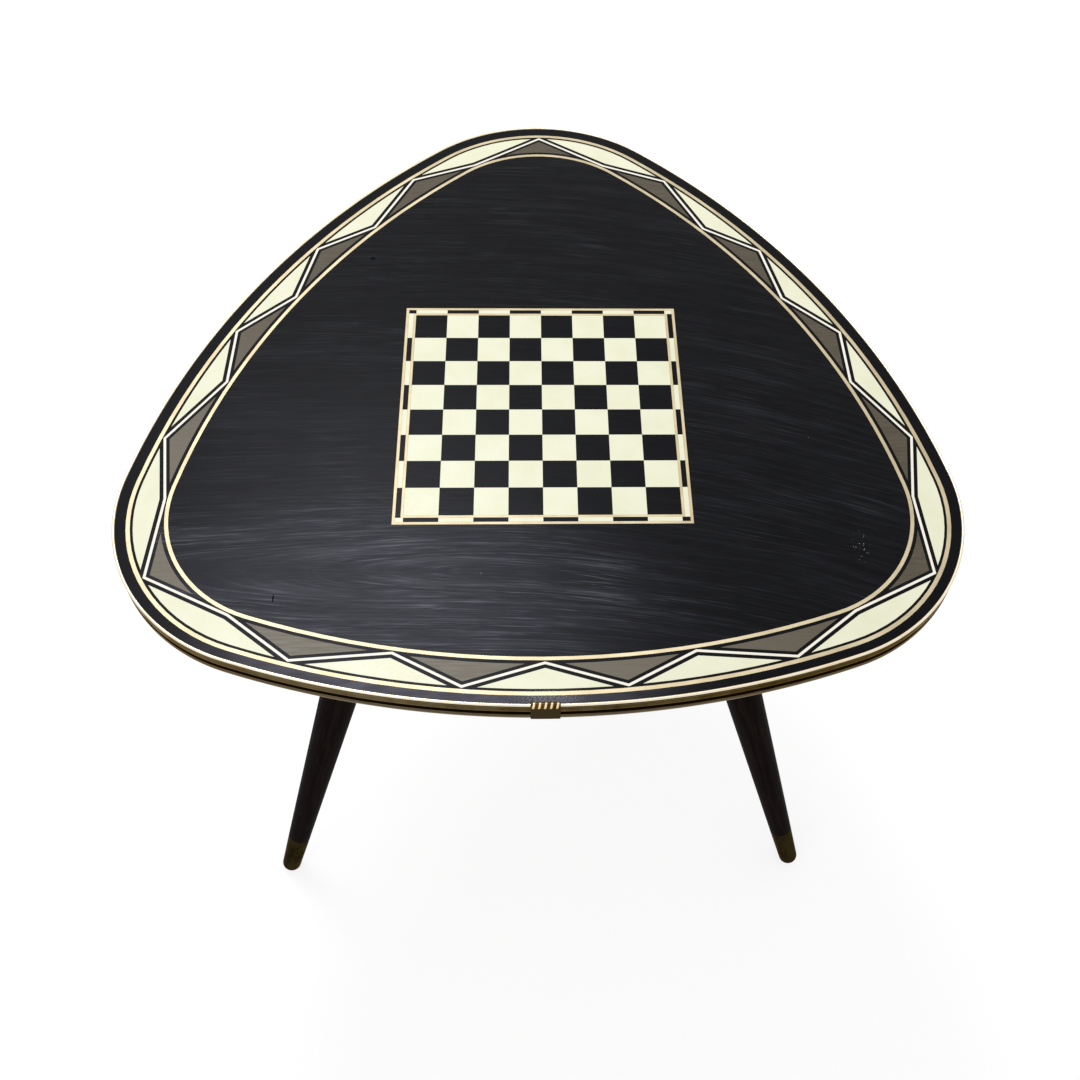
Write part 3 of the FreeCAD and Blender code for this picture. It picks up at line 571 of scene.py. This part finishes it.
def dull_brass(name, degrees):
    """Tarnished brass, drawn along the leg."""
    made, tree, shader = material(name, Metallic=1.0, Specular_Tint=rgb(0.5, 0.47, 0.41))
    drawn = noise(tree, along_leg(tree, degrees, 0.08), 1100.0, detail=2.0)
    blotch = noise(tree, along_leg(tree, degrees, 0.6), 75.0, detail=5.0, roughness=0.65)
    colour = mix_colour(tree, ramp(tree, blotch, 0.35, 0.66), rgb(0.031, 0.0245, 0.0145),
                        rgb(0.0135, 0.0108, 0.0072))
    colour = mix_colour(tree, ramp(tree, drawn, 0.45, 0.75, 0.0, 0.5), colour,
                        rgb(0.044, 0.035, 0.021))
    rough = ramp(tree, blotch, 0.3, 0.7, 0.36, 0.56)
    surface(tree, shader, colour, rough, drawn, strength=0.06, depth=0.0002)
    return made


def mottled(name, pale, deep, roughness, metallic=1.0, grain=420.0):
    """Plain finish of a fixing, with small blotches."""
    made, tree, shader = material(name, Metallic=metallic)
    blotch = noise(tree, place(tree), grain, detail=4.0)
    colour = mix_colour(tree, ramp(tree, blotch, 0.35, 0.68), pale, deep)
    rough = ramp(tree, blotch, 0.3, 0.7, roughness, roughness + 0.15)
    surface(tree, shader, colour, rough, noise(tree, place(tree), 2400.0),
            strength=0.06, depth=0.0002)
    return made


def sheet_wood(name, pale, deep, grain_scale):
    """Raw or stained board with its grain across the table."""
    made, tree, shader = material(name, Specular_IOR_Level=0.2)
    grain = noise(tree, place(tree, scale=(0.06, 1.0, 0.6)), grain_scale, detail=4.0,
                  distortion=0.3)
    wide = noise(tree, place(tree, scale=(0.2, 1.0, 0.5)), 22.0, detail=3.0)
    colour = mix_colour(tree, ramp(tree, grain, 0.3, 0.72), pale, deep)
    colour = mix_colour(tree, ramp(tree, wide, 0.35, 0.7, 0.0, 0.45), colour, deep)
    rough = ramp(tree, grain, 0.3, 0.7, 0.5, 0.66)
    surface(tree, shader, colour, rough, grain, strength=0.15, depth=0.0004)
    return made


veneer = black_veneer("black_veneer_lacquered", figure=1.0, deep=rgb(0.0008, 0.0008, 0.0011),
                      pale=rgb(0.0028, 0.0029, 0.0036), streak=rgb(0.135, 0.142, 0.17))
black_squares = black_veneer("black_squares_lacquered", figure=0.5,
                             deep=rgb(0.0006, 0.0006, 0.0008), pale=rgb(0.0022, 0.0023, 0.0028),
                             streak=rgb(0.06, 0.061, 0.072))
ivory = smooth_inlay("ivory_inlay_lacquered", pale=rgb(0.81, 0.81, 0.63),
                     deep=rgb(0.77, 0.775, 0.565), roughness=0.3)
cream = smooth_inlay("cream_line_lacquered", pale=rgb(0.91, 0.885, 0.79),
                     deep=rgb(0.86, 0.83, 0.72), roughness=0.3, scale=60.0)
taupe = taupe_veneer("taupe_veneer_lacquered")
gold = metal_ink("gold_border_line", pale=rgb(0.535, 0.465, 0.312), deep=rgb(0.445, 0.373, 0.24),
                 metallic=1.0, roughness=0.44)
board_gold = metal_ink("gold_board_line", pale=rgb(0.64, 0.545, 0.33),
                       deep=rgb(0.52, 0.425, 0.245), metallic=0.2, roughness=0.36)
band_metal = edge_band_metal("band_brass_toned")
clip_metal = ribbed_brass("clip_pressed_brass")
zinc = mottled("zinc_plated_steel", pale=rgb(0.62, 0.6, 0.55), deep=rgb(0.46, 0.45, 0.41),
               roughness=0.3)
bush_metal = mottled("turned_zinc_plated_steel", pale=rgb(0.58, 0.55, 0.48),
                     deep=rgb(0.44, 0.42, 0.36), roughness=0.28)
steel = mottled("black_pressed_steel", pale=rgb(0.028, 0.028, 0.03), deep=rgb(0.014, 0.014, 0.015),
                roughness=0.38, metallic=0.3, grain=260.0)
fibre = mottled("red_brown_fibre", pale=rgb(0.2, 0.07, 0.04), deep=rgb(0.13, 0.045, 0.028),
                roughness=0.6, metallic=0.0, grain=700.0)
core_board = sheet_wood("pressed_chipboard", pale=rgb(0.5, 0.37, 0.23),
                        deep=rgb(0.33, 0.22, 0.125), grain_scale=300.0)
backing = sheet_wood("stained_backing", pale=rgb(0.105, 0.06, 0.032),
                     deep=rgb(0.05, 0.028, 0.016), grain_scale=230.0)

dress("top_veneer", veneer)
for inlay in ("chess_dark_squares", "chess_dark_strips"):
    dress(inlay, black_squares)
for inlay in ("chess_light_squares", "chess_light_strips", "border_ivory_triangles"):
    dress(inlay, ivory)
dress("border_zigzag", cream)
dress("border_taupe_triangles", taupe)
for line in ("border_outer_line", "border_inner_line"):
    dress(line, gold)
for line in ("chess_inner_line", "chess_outer_line"):
    dress(line, board_gold)
dress("edge_band", band_metal)
dress("edge_splice_clip", clip_metal)
dress("top_core", core_board)
dress("underside_backing", backing)
for leg, degrees in LEG_ANGLES.items():
    dress("leg_" + leg, leg_wood("black_leg_wood_" + leg, degrees))
    dress("leg_ferrule_" + leg, dull_brass("dull_ferrule_brass_" + leg, degrees))
    dress("leg_plate_" + leg, steel)
    dress("leg_bush_" + leg, bush_metal)
    dress("leg_washer_" + leg, fibre)
    dress("plate_screws_" + leg, zinc)
    dress("hanger_bolt_" + leg, zinc)


# Meshes of the band, the clip and the fixings

def new_object(name, mesh, made):
    """New piece with one mesh and one material."""
    mesh.materials.append(made)
    piece = bpy.data.objects.new(name, mesh)
    scene.collection.objects.link(piece)
    return piece


def to_mesh(name, made, smooth_degrees=32.0):
    """Finished mesh, smooth where its faces meet at less than the angle."""
    mesh = bpy.data.meshes.new(name)
    made.to_mesh(mesh)
    made.free()
    mesh.shade_smooth()
    mesh.set_sharp_from_angle(angle=math.radians(smooth_degrees))
    return mesh


def ring_points(radius, height):
    """Points of a level circle about Z."""
    turns = [2 * math.pi * k / ROUND_SEGMENTS for k in range(ROUND_SEGMENTS)]
    return [(radius * math.cos(turn), radius * math.sin(turn), height) for turn in turns]


def turned_mesh(profile):
    """Closed mesh turned about Z from radius and height pairs that start and end on the axis."""
    made = bmesh.new()
    rings = []
    for radius, height in profile:
        points = ring_points(radius, height) if radius else [(0, 0, height)]
        rings.append([made.verts.new(point) for point in points])
    for low, high in zip(rings, rings[1:]):
        for k in range(ROUND_SEGMENTS):
            j = (k + 1) % ROUND_SEGMENTS
            corners = [low[k % len(low)], low[j % len(low)],
                       high[j % len(high)], high[k % len(high)]]
            made.faces.new(list(dict.fromkeys(corners)))
    bmesh.ops.recalc_face_normals(made, faces=made.faces)
    return made


def swept_mesh(rings):
    """Closed mesh through rings of as many points each, with both ends filled."""
    made = bmesh.new()
    loops = [[made.verts.new(point) for point in ring] for ring in rings]
    for low, high in zip(loops, loops[1:]):
        for k in range(len(low)):
            j = (k + 1) % len(low)
            made.faces.new((low[k], low[j], high[j], high[k]))
    made.faces.new(loops[0])
    made.faces.new(loops[-1])
    bmesh.ops.recalc_face_normals(made, faces=made.faces)
    return made


def arc_steps(centre, radius, start, end, steps):
    """Points along an arc, angles in degrees."""
    turns = [math.radians(start + (end - start) * k / steps) for k in range(steps + 1)]
    return [(centre[0] + radius * math.cos(turn), centre[1] + radius * math.sin(turn))
            for turn in turns]


def edge_runs():
    """Arcs of the edge from the middle of the front and back to it.

    Each is a centre, a radius, and the first and last angle.
    """
    runs = []
    for k in range(SIDE_COUNT):
        side = side_angle(k)
        corner = side + HALF_TURN
        corner_centre = Vector((CORNER_REACH * math.cos(corner),
                                AXIS_Y + CORNER_REACH * math.sin(corner), TOP_Z))
        runs.append((side_centre(k), SIDE_RADIUS, side - HALF_SIDE, side + HALF_SIDE))
        runs.append((corner_centre, CORNER_RADIUS, side + HALF_SIDE,
                     side + math.radians(SIDE_TURN) - HALF_SIDE))
    centre, radius, first, last = runs[0]
    middle = (first + last) / 2
    joint = BAND_END_GAP / 2 / radius
    turn = 2 * math.pi
    start = (centre, radius, middle + joint, last)
    end = (centre, radius, first + turn, middle - joint + turn)
    return [start] + runs[1:] + [end]


def on_edge(centre, radius, angle, section):
    """A section of outward and upward millimetres set across the edge at one angle."""
    outward = Vector((math.cos(angle), math.sin(angle), 0))
    return [centre + (radius + x * MM) * outward + Vector((0, 0, z * MM)) for x, z in section]


def groove_points(reach, top, foot):
    return [(reach, top), (reach, foot)]


def band_section():
    """Bead, reed between two grooves, face, flute, lip and the spine in the core's slot."""
    section = arc_steps(BEAD_CENTRE, BEAD_RADIUS, BEAD_START, BEAD_END, 20)
    section += groove_points(*UPPER_GROOVE)
    section += arc_steps(REED_CENTRE, REED_RADIUS, REED_HALF_ANGLE, -REED_HALF_ANGLE, 8)
    section += groove_points(*LOWER_GROOVE)
    section += [(BAND_FACE, FACE_TOP), (BAND_FACE, FACE_FOOT)]
    section += arc_steps(FLUTE_CENTRE, FLUTE_RADIUS, FLUTE_START, FLUTE_END, 12)
    section += [(BAND_FACE, LIP_TOP)]
    section += arc_steps(LIP_CENTRE, LIP_RADIUS, 0, -90, 8)
    section += [(LIP_REACH, LIP_FOOT), (LIP_REACH, LIP_SHELF), (BAND_BACK, LIP_SHELF)]
    section += [(BAND_BACK, SPINE_FOOT), (SPINE_REACH, SPINE_FOOT)]
    section += [(SPINE_REACH, SPINE_TOP), (BAND_BACK, SPINE_TOP)]
    return section + [(BAND_BACK, EDGE_SEAT)]


def band_mesh():
    """Band along the whole edge, with its ends at the middle of the front."""
    step = 0.0095
    section = band_section()
    rings = []
    for centre, radius, first, last in edge_runs():
        steps = math.ceil(abs(last - first) * math.sqrt(radius) / step)
        for k in range(1 if rings else 0, steps + 1):
            rings.append(on_edge(centre, radius, first + (last - first) * k / steps, section))
    return to_mesh("beaded_band", swept_mesh(rings), 40.0)


def rib_height(across, along, length):
    """Rise of the nearest rib in millimetres: half round, with rounded ends."""
    pitch = RIB_PITCH * MM_PER_METRE
    last = RIB_COUNT // 2
    from_rib = across - pitch * max(-last, min(last, round(across / pitch)))
    past_end = max(0.0, RIB_HALF_WIDTH - along, along - length + RIB_HALF_WIDTH)
    distance = math.hypot(from_rib, past_end)
    if distance >= RIB_HALF_WIDTH:
        return 0.0
    return RIB_RISE_SHARE * (math.sqrt(RIB_RADIUS ** 2 - distance ** 2) - RIB_SUNK)


def clip_section(across):
    """Hooked strip with its ribs, cut the given millimetres to the side of its middle."""
    turn_x, turn_z = CLIP_TURN_CENTRE
    # Line of the hook, the turn and the upper face, which carries the ribs
    line = arc_steps(CLIP_HOOK_CENTRE, CLIP_HOOK_RADIUS, 180, 90, 8)
    line += arc_steps(CLIP_TURN_CENTRE, CLIP_TURN_RADIUS, 90, 0, 16)
    line += [(CLIP_FACE, turn_z - CLIP_FACE_STEP * k) for k in range(1, CLIP_FACE_STEPS + 1)]
    outer = [(CLIP_HOOK_OUTSIDE, EDGE_SEAT)]
    along = 0.0
    length = turn_x + CLIP_TURN_RADIUS * math.pi / 2 + RIB_DROP * MM_PER_METRE + turn_z
    for k, (x, z) in enumerate(line):
        if x > 0 and k:
            along += math.hypot(x - max(line[k - 1][0], 0.0), z - line[k - 1][1])
        leaning = across + RIB_LEAN * (x - z - RIB_MIDDLE * MM_PER_METRE)
        rise = rib_height(leaning, along, length) if x > 0 else 0.0
        turn = math.pi / 2
        if z <= turn_z:
            turn = 0.0
        elif x > turn_x:
            turn = math.atan2(z - turn_z, x - turn_x)
        outer.append((x + rise * math.cos(turn), z + rise * math.sin(turn)))
    # Lower face, the reach under the top, and back along the inside
    outer += [(CLIP_FACE, CLIP_FACE_MIDDLE)]
    outer += arc_steps(CLIP_FOOT_CENTRE, CLIP_FOOT_RADIUS, 0, -90, 8)
    outer += [(CLIP_UNDER_REACH, CLIP_UNDER_FOOT)]
    inner = [(CLIP_UNDER_REACH, CLIP_UNDER_TOP)]
    inner += arc_steps(CLIP_FOOT_CENTRE, CLIP_FOOT_RADIUS - CLIP_WALL, -90, 0, 8)
    inner += arc_steps(CLIP_TURN_CENTRE, CLIP_TURN_RADIUS - CLIP_WALL, 0, 90, 8)
    inner += [(CLIP_HOOK_INSIDE, CLIP_HOOK_UNDER), (CLIP_HOOK_INSIDE, EDGE_SEAT)]
    return outer + inner


def clip_mesh():
    """Clip over the joint of the band, cut into columns across its width."""
    centre, radius = edge_runs()[0][:2]
    rings = []
    for k in range(CLIP_COLUMNS + 1):
        across = CLIP_WIDTH * (k / CLIP_COLUMNS - 0.5)
        section = clip_section(across * MM_PER_METRE)
        rings.append(on_edge(centre, radius, side_angle(0) + across / radius, section))
    return to_mesh("ribbed_clip", swept_mesh(rings), 40.0)


def recess_mesh():
    """Two crossed, tapered arms that cut the recess of a screw."""
    made = bmesh.new()
    for turn in (0.0, math.pi / 2):
        arm = bmesh.ops.create_cube(made, size=1.0)["verts"]
        for vert in arm:
            length, width, below = RECESS_FLOOR if vert.co.z > 0 else RECESS_MOUTH
            vert.co.x *= length
            vert.co.y *= width
            vert.co.z = -PLATE_THICK - below
        bmesh.ops.rotate(made, verts=arm, matrix=Matrix.Rotation(turn, 3, "Z"))
    bmesh.ops.recalc_face_normals(made, faces=made.faces)
    return to_mesh("recess_cutter", made)


def screw_mesh():
    """Wood screw: domed head with a cross recess, plain shank, pointed end."""
    dome = (SCREW_HEAD_RADIUS ** 2 + SCREW_HEAD_HEIGHT ** 2) / (2 * SCREW_HEAD_HEIGHT)
    centre = -PLATE_THICK - SCREW_HEAD_HEIGHT + dome
    edge = math.asin(SCREW_HEAD_RADIUS / dome)
    tip = SCREW_LENGTH - PLATE_THICK
    profile = [(0, tip), (SCREW_RADIUS, tip - SCREW_POINT), (SCREW_RADIUS, -PLATE_THICK)]
    steps = 9
    for k in range(steps + 1):
        turn = edge * (1 - k / steps)
        radius = dome * math.sin(turn) if k < steps else 0
        profile.append((radius, centre - dome * math.cos(turn)))
    blank = new_object("screw_blank", to_mesh("screw_blank", turned_mesh(profile)), zinc)
    cutter = new_object("recess_cutter", recess_mesh(), zinc)
    cut = blank.modifiers.new("recess", "BOOLEAN")
    cut.object = cutter
    cut.operation = "DIFFERENCE"
    cut.solver = "EXACT"
    cut.use_self = True
    bpy.context.view_layer.update()
    graph = bpy.context.evaluated_depsgraph_get()
    finished = bpy.data.meshes.new_from_object(blank.evaluated_get(graph))
    bpy.data.objects.remove(blank)
    bpy.data.objects.remove(cutter)
    return finished


def thread_height(z, turn):
    """Nought in the root of a right-hand thread and one on its crest."""
    share = (z / THREAD_PITCH - turn / (2 * math.pi)) % 1.0
    return min(1.0, max(0.0, THREAD_FLANK / 2 - THREAD_FLANK * abs(share - 0.5)))


def bolt_mesh():
    """Hanger bolt, Z along the leg: machine thread above the leg, stud and point inside it."""
    rows_per_turn = 8
    root = BOLT_RADIUS - THREAD_DEPTH
    tip = -(SEAT - THREAD_LENGTH)
    thread_end = -(SEAT + WASHER_THICK + THREAD_IN_LEG)
    end = -(SEAT + WASHER_THICK + BOLT_IN_LEG)
    rows = int(round((tip - thread_end) / THREAD_PITCH * rows_per_turn))
    rings = []
    for row in range(rows + 1):
        z = tip + (thread_end - tip) * row / rows
        lead = max(0.0, min(1.0, (tip - z + THREAD_LEAD_START) / THREAD_LEAD_IN))
        ring = []
        for k in range(ROUND_SEGMENTS):
            turn = 2 * math.pi * k / ROUND_SEGMENTS
            radius = root + (BOLT_RADIUS - root) * min(thread_height(z, turn), lead)
            ring.append((radius * math.cos(turn), radius * math.sin(turn), z))
        rings.append(ring)
    shank = BOLT_RADIUS - BOLT_RELIEF
    rings.append(ring_points(shank, thread_end - THREAD_RUN_OUT))
    rings.append(ring_points(shank, end + BOLT_POINT_LENGTH))
    rings.append(ring_points(BOLT_POINT_RADIUS, end))
    return to_mesh("threaded_stud", swept_mesh(rings), 50.0)


def screws_mesh(name, single, degrees):
    """Four screws in the corners of one plate, each turned its own way."""
    first_twist, twist_step = 0.5, 1.1
    screws = bmesh.new()
    for k, (sx, sy) in enumerate(((-1, -1), (-1, 1), (1, -1), (1, 1))):
        turned = single.copy()
        corner = (sx * SCREW_SPACING[0] / 2, sy * SCREW_SPACING[1] / 2, 0)
        twist = Matrix.Rotation(first_twist + twist_step * k + math.radians(degrees), 4, "Z")
        turned.transform(fixing_matrix(degrees) @ Matrix.Translation(corner) @ twist)
        screws.from_mesh(turned)
        bpy.data.meshes.remove(turned)
    return to_mesh(name, screws)


band = new_object("beaded_band", band_mesh(), band_metal)
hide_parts("edge_band")
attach(band, "table_top")
clip = new_object("ribbed_clip", clip_mesh(), clip_metal)
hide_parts("edge_splice_clip")
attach(clip, "table_top")

screw = screw_mesh()
for leg, degrees in LEG_ANGLES.items():
    name = "recessed_screws_" + leg
    group = new_object(name, screws_mesh(name, screw, degrees), zinc)
    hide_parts("plate_screws_" + leg)
    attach(group, "table_top")
    stud_mesh = bolt_mesh()
    stud_mesh.transform(leg_matrix(degrees))
    stud = new_object("threaded_stud_" + leg, stud_mesh, zinc)
    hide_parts("hanger_bolt_" + leg)
    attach(stud, "leg_" + leg)
bpy.data.meshes.remove(screw)


# Floor, light and camera

def floor():
    """Pale floor that keeps the shadow and looks almost white."""
    made, tree, shader = material("pale_floor", Roughness=0.9, Specular_IOR_Level=0.0,
                                  Base_Color=rgb(0.82, 0.82, 0.82))
    shadowed = add(tree, "ShaderNodeBsdfDiffuse", {"Color": rgb(0.3, 0.3, 0.3)}).outputs[0]
    glow = add(tree, "ShaderNodeEmission", {"Color": rgb(1, 1, 1), "Strength": FLOOR_GLOW})
    pale = add(tree, "ShaderNodeAddShader", {0: shadowed, 1: glow.outputs[0]}).outputs[0]
    both = add(tree, "ShaderNodeMixShader",
               {0: seen_directly(tree), 1: shader.outputs[0], 2: pale}).outputs[0]
    tree.links.new(both, tree.nodes["Material Output"].inputs["Surface"])
    sheet = bmesh.new()
    corners = ((-1, -1), (1, -1), (1, 1), (-1, 1))
    sheet.faces.new([sheet.verts.new((x * FLOOR_HALF, y * FLOOR_HALF, 0.0)) for x, y in corners])
    mesh = bpy.data.meshes.new("floor")
    sheet.to_mesh(mesh)
    sheet.free()
    new_object("floor", mesh, made)


def world():
    """White where it is seen, softer where it lights the table."""
    made = bpy.data.worlds.new("soft_studio")
    scene.world = made
    made.use_nodes = True
    tree = made.node_tree
    lit = tree.nodes["Background"]
    lit.inputs["Color"].default_value = rgb(1, 1, 1)
    lit.inputs["Strength"].default_value = WORLD_LIGHT
    white = add(tree, "ShaderNodeBackground", {"Color": rgb(1, 1, 1), "Strength": WORLD_SEEN})
    both = add(tree, "ShaderNodeMixShader",
               {0: seen_directly(tree), 1: lit.outputs[0], 2: white.outputs[0]}).outputs[0]
    tree.links.new(both, tree.nodes["World Output"].inputs["Surface"])


def soft_lamp(name, place_at, size, power):
    """Round lamp aimed below the middle of the top."""
    lamp = bpy.data.lights.new(name, "AREA")
    lamp.shape = "DISK"
    lamp.size = size
    lamp.energy = power
    piece = bpy.data.objects.new(name, lamp)
    piece.location = place_at
    aim = Vector(LAMP_AIM) - Vector(place_at)
    piece.rotation_euler = aim.to_track_quat("-Z", "Y").to_euler()
    scene.collection.objects.link(piece)


def camera():
    """Photograph's view: from the front, 56 degrees down, with its middle a little off the axis."""
    lens = bpy.data.cameras.new("camera")
    lens.sensor_width = SENSOR
    lens.lens = SENSOR * FOCAL_LENGTH / PICTURE
    lens.shift_x = -FRAMING_SHIFT / PICTURE
    lens.shift_y = FRAMING_SHIFT / PICTURE
    lens.clip_start = 0.01
    lens.clip_end = 200.0
    yaw, pitch, roll = (math.radians(turn) for turn in (CAMERA_YAW, CAMERA_PITCH, CAMERA_ROLL))
    ahead = Vector((math.sin(yaw) * math.cos(pitch), math.cos(yaw) * math.cos(pitch),
                    -math.sin(pitch)))
    right = Vector((math.cos(yaw), -math.sin(yaw), 0))
    down = ahead.cross(right)
    turned_right = math.cos(roll) * right + math.sin(roll) * down
    turned_down = math.cos(roll) * down - math.sin(roll) * right
    piece = bpy.data.objects.new("camera", lens)
    piece.matrix_world = Matrix((turned_right, -turned_down, -ahead)).transposed().to_4x4()
    x, y, z = CAMERA_PLACE
    piece.location = (x, AXIS_Y + y, TOP_Z + z)
    scene.collection.objects.link(piece)
    scene.camera = piece


floor()
world()
soft_lamp("key", place_at=(-0.42, 1.02, 2.6), size=0.8, power=25.0)
soft_lamp("fill", place_at=(-1.2, -1.6, 2.2), size=1.6, power=6.0)
camera()

scene.view_settings.view_transform = "Standard"
